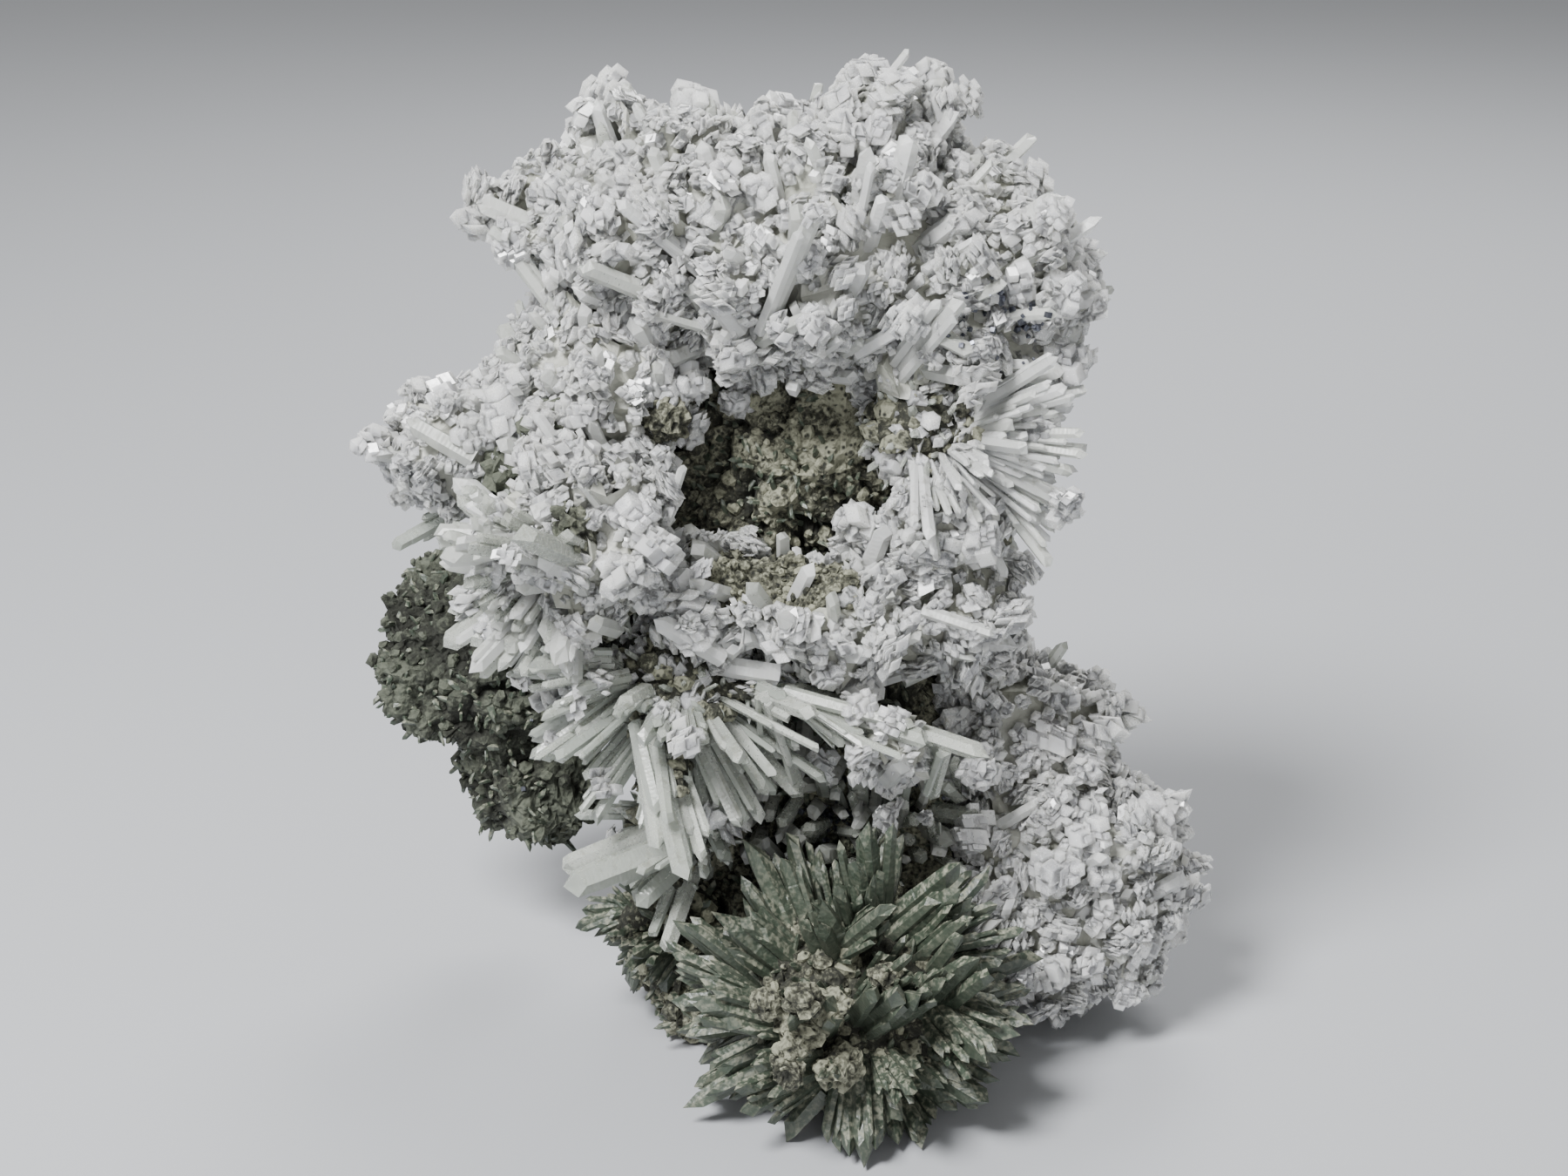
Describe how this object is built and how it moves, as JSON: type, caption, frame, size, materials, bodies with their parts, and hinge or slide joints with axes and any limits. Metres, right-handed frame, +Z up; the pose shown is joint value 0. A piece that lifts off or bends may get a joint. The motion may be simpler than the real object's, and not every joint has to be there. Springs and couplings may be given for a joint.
{
  "type": "calcite on quartz specimen",
  "caption": "Standing mineral specimen: altered rock with sprays of quartz points, pale blocky calcite grown over them and a chlorite-green quartz burst at the foot.",
  "frame": {"origin": "on the flat broken face that the specimen stands on, under the middle of its outline", "axes": "+Z up along its height, front with the open hollow and the green burst towards -Y, +X to the right seen from the front"},
  "size_m": [0.133, 0.0968, 0.1521],
  "materials": {
    "matrix_rock": "dull, granular altered rock, olive-cream on dark green-grey",
    "quartz": "glassy, clear to cloudy, finely striated prism faces",
    "calcite": "translucent white, stepped glittering faces",
    "green_quartz": "chlorite-green quartz, satin, dusted with cream"
  },
  "bodies": {
    "root": {"matrix_rock": "matrix_rock", "quartz_point_corner": "quartz", "quartz_point_left": "quartz", "quartz_point_top": "quartz", "quartz_point_brow": "quartz", "quartz_point_high": "quartz", "quartz_point_front": "quartz", "quartz_point_right": "quartz", "quartz_right_spray": "quartz", "quartz_left_front": "quartz", "quartz_lower_spray": "quartz", "quartz_low_left": "quartz", "calcite_crown": "calcite", "calcite_left_arm": "calcite", "calcite_left_front": "calcite", "calcite_waist": "calcite", "calcite_long_points": "calcite", "calcite_right_lobe": "calcite", "green_quartz_front": "green_quartz", "green_quartz_left": "green_quartz"}
  },
  "joints": []
}
